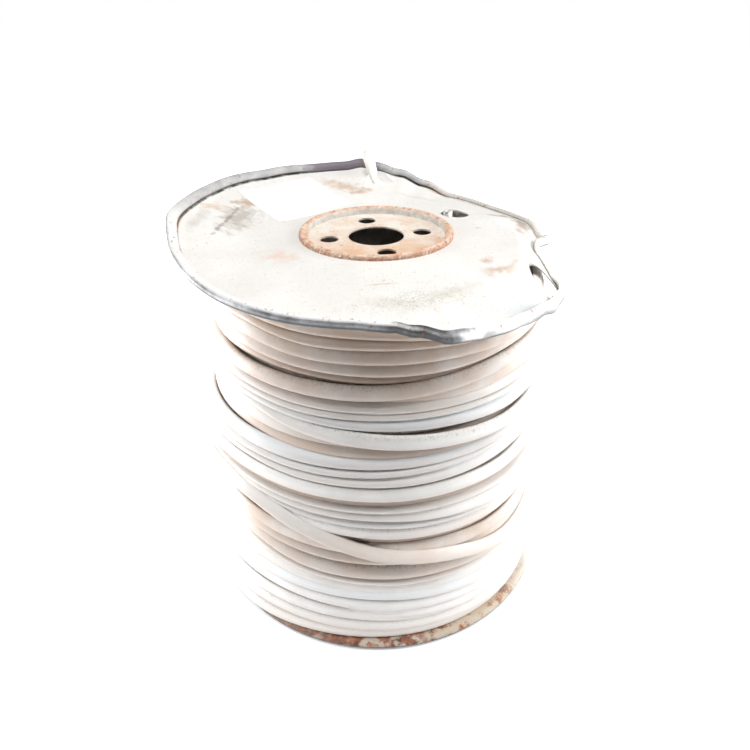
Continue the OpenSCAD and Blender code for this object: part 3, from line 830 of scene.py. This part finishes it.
# %% Worn white paint
def worn_white_paint():
    material, tree, place = paint("worn_white_paint")
    x, y = split(tree, place)
    rim, rolled = read_float(tree, "rim"), read_float(tree, "rolled")
    base = mottled(tree, place, "EDEBE7", "E2DFDA", 45, 0.3, 0.75)
    for at, size, turn, tint, strength in MARKS:
        mask = oval_mark(tree, place, at, size, turn, 0.9, 6, 0.8)
        base = lay_on(tree, base, tint, mask, strength)
    ring = ramp_up(tree, read_float(tree, "cut_edge"), 1.1, 0.3)
    base = lay_on(tree, base, "7A7066", ring, 0.75)
    # light blue-grey painted shade, where the sheet bends down away from the light
    blue = oval_mark(tree, place, (93, -73), (27, 19), 40, 0.2, 20, 0.9)
    base = lay_on(tree, base, "C0C6CA", blue, 0.8)
    # fine grit everywhere, more of it along the fold
    grit = clouds(tree, place, 1.3, 0.66, 0.72, detail=1)
    base = lay_on(tree, base, "A9835F", grit, 0.4)
    fold = oval_mark(tree, place, (22, -95), (46, 13), 18, 0.8, 8, 0.9)
    more = times(tree, clouds(tree, place, 1.1, 0.52, 0.62, detail=1), fold)
    base = lay_on(tree, base, "8C8574", more, 0.5)
    # the slit beside the curl: rust in front; at the back it is painted nearly black,
    # as the shadow in it
    slit = times(tree, ramp_up(tree, rim, 125.5, 126.5), ramp_up(tree, rolled, 2.4, 1.3))
    back = ramp_up(tree, y, -0.02, 0.03)
    lost = times(tree, back, ramp_up(tree, x, 0.035, 0.05))
    lost = either(tree, lost, ramp_up(tree, x, 0.095, 0.105))
    slit = times(tree, slit, blend_value(tree, lost, 1, 0))
    slit_rust_and_shadow = blend_colours(tree, back, colour("B08252"), colour("2A3833"))
    # beside the tail the slit is pressed shut, and it is painted a bright bluish white there,
    # as a painted highlight
    beside_tail = times(tree, ramp_up(tree, x, -0.062, -0.054), ramp_up(tree, x, 0.02, 0.014))
    beside_tail = times(tree, beside_tail, back)
    slit_rust_and_shadow = lay_on(tree, slit_rust_and_shadow, "F2F7FB", beside_tail)
    patchy = times(tree, slit, ramp_up(tree, clouds(tree, place, 9, 0.36, 0.58), 0, 0.8))
    patchy = either(tree, patchy, beside_tail)
    patchy = times(tree, patchy, slit)
    base = blend_colours(tree, patchy, base, slit_rust_and_shadow)
    # the curl: paint on top of it, dull grey at the back, bare zinc on its outer side
    on_curl = times(tree, ramp_up(tree, rim, 126.3, 126.9), ramp_up(tree, rolled, 0.8, 1.4))
    base = lay_on(tree, base, "EEEEEC", on_curl, 0.8)
    dull = mottled(tree, place, "B4B3B2", "8C8B8E", 9, 0.35, 0.65)
    dull = lay_on(tree, dull, "CBC4BC", lost)
    base = blend_colours(tree, times(tree, times(tree, on_curl, back), 0.8), base, dull)
    side = times(tree, ramp_up(tree, rim, 130.4, 131.8), ramp_up(tree, rolled, 6.2, 5.0))
    front = oval_mark(tree, place, (40, -124), (40, 16), 8, 0.6, 9, 0.5)
    side = either(tree, side, times(tree, on_curl, front))
    zinc = mottled(tree, place, "B7B9BD", "68676A", 13, 0.36, 0.64, detail=3)
    # painted shadow of the dents in the front of the curl
    knock = oval_mark(tree, place, (26, -128), (24, 9), 6, 0.4, 8, 0.5)
    zinc = lay_on(tree, zinc, "424143", knock, 0.9)
    painted = ramp_up(tree, x, 0.05, 0.082)
    zinc = lay_on(tree, zinc, "E6E7E5", painted, 0.85)
    base = blend_colours(tree, side, base, zinc)
    back_curl = times(tree, on_curl, oval_mark(tree, place, (-28, 126), (44, 18), 0, 0.6, 12, 0.5))
    base = lay_on(tree, base, "7D757D", back_curl)
    specks = times(tree, on_curl, clouds(tree, place, 3.2, 0.6, 0.7))
    base = lay_on(tree, base, "94664A", specks, 0.8)
    # painted shade on the underside of the curl, and on its outer edge at both sides
    low = times(tree, on_curl, ramp_up(tree, rolled, 3.4, 2.2))
    aside = maths(tree, "ABSOLUTE", x, clamp=False)
    ends = times(tree, ramp_up(tree, aside, 0.075, 0.1), ramp_up(tree, rim, 130.8, 132.0))
    ends = times(tree, ends, ramp_up(tree, y, 0.012, 0.004))
    low = either(tree, low, times(tree, ends, ramp_up(tree, rolled, 5.8, 4.8)))
    base = lay_on(tree, base, "3F4444", low, 0.9)
    spot = oval_mark(tree, place, (119, 27), (2.6, 2.0), 0, 0.3, 3, 0.5)
    base = lay_on(tree, base, "25382F", spot)
    finish(tree, base, blend_value(tree, side, 0.6, 0.42), Metallic=times(tree, side, 0.3),
           Normal=uneven(tree, place, 0.2, 0.6, 3))
    return material


wear(upper_flange, worn_white_paint())

# %% [markdown]
# ## Rust on the lower flange
#
# The lower flange stands in the wet. Its paint has gone from the curl, and the steel has
# rusted orange and brown, with cream islands where old paint holds on.

# %% Rusted sheet
def rusted_sheet():
    material, tree, place = paint("rusted_sheet")
    x, y = split(tree, place)
    rim, rolled = read_float(tree, "rim"), read_float(tree, "rolled")
    rust = node(tree, "ShaderNodeTexNoise", {"Vector": place, "Scale": 150.0, "Detail": 8.0,
                                             "Roughness": 0.7})
    base = node(tree, "ShaderNodeValToRGB", {"Fac": rust.outputs["Fac"]},
                ramp=[(0.32, "46301F"), (0.45, "7C5140"), (0.56, "A86B50"), (0.66, "B89A7C"),
                      (0.78, "9C948C")]).outputs[0]
    # islands of old paint, most of them on the right
    right = ramp_up(tree, x, -0.13, 0.12)
    islands = maths(tree, "ADD", clouds(tree, place, 9, 0.3, 0.75),
                    blend_value(tree, right, 0.0, 0.42))
    base = lay_on(tree, base, "C6BBAC", ramp_up(tree, islands, 0.64, 0.86))
    # gold flecks on the right are painted glints
    gold = times(tree, clouds(tree, place, 3, 0.52, 0.6), ramp_up(tree, x, 0.02, 0.07))
    base = lay_on(tree, base, "DCBE8E", gold, 0.7)
    left = times(tree, ramp_up(tree, x, -0.01, -0.08), clouds(tree, place, 5, 0.3, 0.6))
    base = lay_on(tree, base, "7A746A", left, 0.9)
    far_right = ramp_up(tree, x, 0.09, 0.12)
    base = lay_on(tree, base, "D3CAC0", far_right, 0.85)
    pale = times(tree, far_right, ramp_up(tree, y, -0.06, -0.035))
    base = lay_on(tree, base, "F4F2EE", pale, 0.9)
    # the outer wall of the curl is grey zinc
    wall = times(tree, ramp_up(tree, rim, 131.2, 132.6), ramp_up(tree, rolled, 2.6, 4.2))
    base = lay_on(tree, base, "6A7177", wall)
    finish(tree, base, 0.7, Normal=uneven(tree, place, 0.5, 0.5, 2))
    return material


wear(lower_flange, rusted_sheet())

# %% [markdown]
# ## Rust over zinc on the hub
#
# The hub plates were galvanised. Their rolled seam has rusted orange, and dark crust
# hangs on its outer wall, while the flat plate still has a cream bloom over the zinc.

# %% Rusty hub
def rusty_hub():
    material, tree, place = paint("rusty_galvanised_hub")
    x, y = split(tree, place)
    flat = node(tree, "ShaderNodeCombineXYZ", {0: x, 1: y, 2: 0.0})
    away = length(tree, flat.outputs[0])
    front = ramp_up(tree, y, 0.01, -0.03)
    rusty = maths(tree, "ADD", times(tree, clouds(tree, place, 13, 0.36, 0.64), 0.55),
                  times(tree, front, 0.5))
    base = blend_colours(tree, rusty, colour("ECE6DB"), colour("DFB898"))
    base = lay_on(tree, base, "B07A56", clouds(tree, place, 2.5, 0.62, 0.72))
    # the inner wall of the seam is grey zinc at the back
    back = ramp_up(tree, y, -0.005, 0.015)
    wall = times(tree, ramp_up(tree, away, 0.0466, 0.0472), back)
    zinc = mottled(tree, place, "E2DFDB", "C6BFB6", 5, 0.4, 0.7)
    base = blend_colours(tree, wall, base, zinc)
    seam = mottled(tree, place, "EDD5C0", "D8AB8D", 6, 0.35, 0.65)
    seam = lay_on(tree, seam, "A36A4E", clouds(tree, place, 2, 0.55, 0.66))
    seam_from = blend_value(tree, back, 0.0466, 0.0479)
    past = maths(tree, "SUBTRACT", away, seam_from, clamp=False)
    base = blend_colours(tree, times(tree, past, 1500.0), base, seam)
    crust = times(tree, ramp_up(tree, away, 0.0512, 0.0524),
                  blend_value(tree, clouds(tree, place, 3, 0.35, 0.6), 0.3, 0.85))
    base = lay_on(tree, base, "AA7861", crust)
    flecks = times(tree, ramp_up(tree, away, 0.0505, 0.0515), clouds(tree, place, 2.2, 0.6, 0.66))
    base = lay_on(tree, base, "E9DFCE", flecks)
    finish(tree, base, 0.7, Normal=uneven(tree, place, 0.6, 0.5, 2.2))
    return material


hub_finish = rusty_hub()
for hub in hubs:
    wear(hub, hub_finish)

# %% Dull zinc inside the barrel
def dull_zinc():
    material, tree, place = paint("dull_zinc_sheet")
    base = mottled(tree, place, "BDBDBA", "98928C", 12, 0.35, 0.65)
    finish(tree, base, clouds(tree, place, 9, -0.3, 1.2), Metallic=0.3)
    return material


wear(solids["barrel"], dull_zinc())

# %% [markdown]
# ## The vinyl sheath
#
# The sheath is extruded vinyl: satin, nearly white, with a little light going into it.
# Dirt has settled where a turn faces up, along the upper part of its face, and hardly
# anywhere else. Shade is painted on as well: on the lower part of each face, on the turns
# that lie deep, and darkest in the crevices. The tube carries the way across the cable,
# its dirt, tone and depth as attributes, so the dirt and the painted shade follow every
# turn and can be baked later.

# %% White vinyl sheath
def vinyl_sheath():
    material, tree, place = paint("white_vinyl_sheath")
    across, dirt, tone, deep, gap = (read_float(tree, name)
                                     for name in ("across", "dirt", "tone", "deep", "gap"))
    # the tone runs from bluish to brownish; its brown near the top and on the deep turns is
    # painted shade
    base = node(tree, "ShaderNodeValToRGB", {"Fac": ramp_up(tree, tone, -1.0, 1.0)},
                ramp=[(0.15, "EEF3F6"), (0.5, "F9F7F4"), (0.75, "E8DBD1"),
                      (0.95, "DAC8BA")]).outputs[0]
    base = lay_on(tree, base, "EDEAE6", clouds(tree, place, 25, 0.45, 0.8))
    # painted shade on the lower part of each face, turned away from the light above
    under = ramp_up(tree, across, 0.0, -0.8)
    base = lay_on(tree, base, "D2C0B4", under, 0.35)
    # dirt lies on the upper part of a face, in specks and in a thin film
    amount = times(tree, ramp_up(tree, across, -0.1, 0.75), dirt)
    specks = times(tree, clouds(tree, place, 1.8, 0.52, 0.66, detail=6, rough=0.75), amount)
    base = lay_on(tree, base, "5F5A4E", specks, 0.75)
    film = times(tree, clouds(tree, place, 11, 0.3, 0.8), amount)
    base = lay_on(tree, base, "A99C8C", film, 0.3)
    # turns that lie deep are painted browner, and the crevices darkest: both are painted shade
    base = lay_on(tree, base, "B39A88", ramp_up(tree, deep, 1.2, 5.0), 0.7)
    edge = ramp_up(tree, maths(tree, "ABSOLUTE", across, clamp=False), 0.5, 0.85)
    line = times(tree, ramp_up(tree, gap, 0.5, 2.3), edge)
    tint = mottled(tree, place, "6B5344", "3A4644", 30, 0.45, 0.6)
    # they show less at the sides, where the light comes from
    aside = maths(tree, "ABSOLUTE", split(tree, place)[0], clamp=False)
    front = ramp_up(tree, aside, 0.118, 0.085)
    line = times(tree, line, blend_value(tree, front, 0.42, 0.75))
    base = blend_colours(tree, line, base, tint)
    finish(tree, base, 0.42, Normal=uneven(tree, place, 0.12, 0.4, 5))
    return material


sheath_finish = vinyl_sheath()
for target in (winding, solids["inner_end_sheath"]):
    wear(target, sheath_finish)

# %% Sheath of the layers below, painted darker and browner as the shade that they lie in
wear(under_layers, mottled_finish("vinyl_sheath_painted_shaded", "E4DCD4", "A6988A", 10, 0.55))

# %% [markdown]
# ## Wires, copper and paper
#
# The cut ends show black and white insulation and bright copper, and the ground wire is
# bare. The label is uncoated paper, a little stained.

# %% Small finishes
def uncoated_paper():
    material, tree, place = paint("uncoated_paper")
    base = mottled(tree, place, "FAFAF8", "ECEBE8", 22, 0.45, 0.8)
    finish(tree, base, 0.85, Normal=uneven(tree, place, 0.15, 0.2, 0.9))
    return material


black = mottled_finish("black_vinyl", "16161A", "24242A", 3, 0.4)
white = mottled_finish("white_vinyl", "EDEDEB", "DCDCDA", 3, 0.4)
copper = mottled_finish("drawn_copper", "D99A72", "A8643F", 2, 0.32, Metallic=1.0)
for end in ("inner_end", "outer_end"):
    wear(solids[end + "_black_insulation"], black)
    wear(solids[end + "_white_insulation"], white)
    wear(solids[end + "_copper_cores"], copper)
    wear(solids[end + "_ground_wire"], copper)
wear(label, uncoated_paper())

# %% [markdown]
# ## Floor, backdrop and light
#
# The reel stands on a white sweep. A big soft lamp hangs over it, two lamps on each side
# burn its sides out, and the front gets only what the floor and one low white card throw
# back, so it is darkest under the upper flange. The floor is lit like anything else, and
# it shows the camera some extra white, so that only the contact shadow stays grey.

# %% Floor
bm = bmesh.new()
bmesh.ops.create_grid(bm, x_segments=1, y_segments=1, size=4)
floor = shown("floor", bm)

material, tree, place = paint("white_sweep")
rays = node(tree, "ShaderNodeLightPath")
seen = either(tree, rays.outputs["Is Camera Ray"], rays.outputs["Is Glossy Ray"])
matt = node(tree, "ShaderNodeBsdfDiffuse", {"Color": colour("F4F5F7")})
# the extra white grows with the distance from the reel, 0.2 to 0.9 m away
far = blend_value(tree, ramp_up(tree, length(tree, place), 0.2, 0.9), 0.3, 1.0)
glow = node(tree, "ShaderNodeEmission", {"Color": colour("FFFFFF"), "Strength": far})
dark = node(tree, "ShaderNodeEmission", {"Strength": 0.0})
extra = node(tree, "ShaderNodeMixShader", {0: seen, 1: dark.outputs[0], 2: glow.outputs[0]})
both = node(tree, "ShaderNodeAddShader", {0: matt.outputs[0], 1: extra.outputs[0]})
node(tree, "ShaderNodeOutputMaterial", {"Surface": both.outputs[0]})
wear(floor, material)

# %% World
# The camera sees it white, and it lights the reel hardly at all.
world = bpy.data.worlds.new("tent")
scene.world = world
world.use_nodes = True
tree = world.node_tree
tree.nodes.clear()
rays = node(tree, "ShaderNodeLightPath")
seen = either(tree, rays.outputs["Is Camera Ray"], rays.outputs["Is Transmission Ray"])
level = blend_value(tree, seen, 0.02, 1.0)
sky = node(tree, "ShaderNodeBackground", {"Color": colour("FFFFFF"), "Strength": level})
node(tree, "ShaderNodeOutputWorld", {"Surface": sky.outputs[0]})

# %% Lamps
def lamp(name, place, target, size, power, spread=180):
    """A soft lamp; place, target and size are in metres, power in watts."""
    data = bpy.data.lights.new(name, "AREA")
    data.shape, data.size, data.size_y = "RECTANGLE", size[0], size[1]
    data.energy, data.spread = power, math.radians(spread)
    made = bpy.data.objects.new(name, data)
    made.location = place
    made.rotation_euler = (Vector(target) - Vector(place)).to_track_quat("-Z", "Y").to_euler()
    scene.collection.objects.link(made)


lamp("overhead", (0, -0.2, 1.3), (0, -0.1, 0.15), (1.0, 0.75), 12.2)
lamp("left_high", (-1.1, 0, 0.7), (0, 0, 0.15), (0.5, 0.5), 4.4)
lamp("right_high", (1.1, 0, 0.7), (0, 0, 0.15), (0.5, 0.5), 9)
lamp("left_low", (-0.9, 0.25, 0.15), (0, 0, 0.15), (0.8, 0.3), 12.6)
lamp("right_low", (0.9, 0.25, 0.15), (0, 0, 0.15), (0.8, 0.3), 6.8)
lamp("white_card", (0, -0.9, 0.05), (0, -0.12, 0), (1.0, 0.1), 0.2, spread=45)
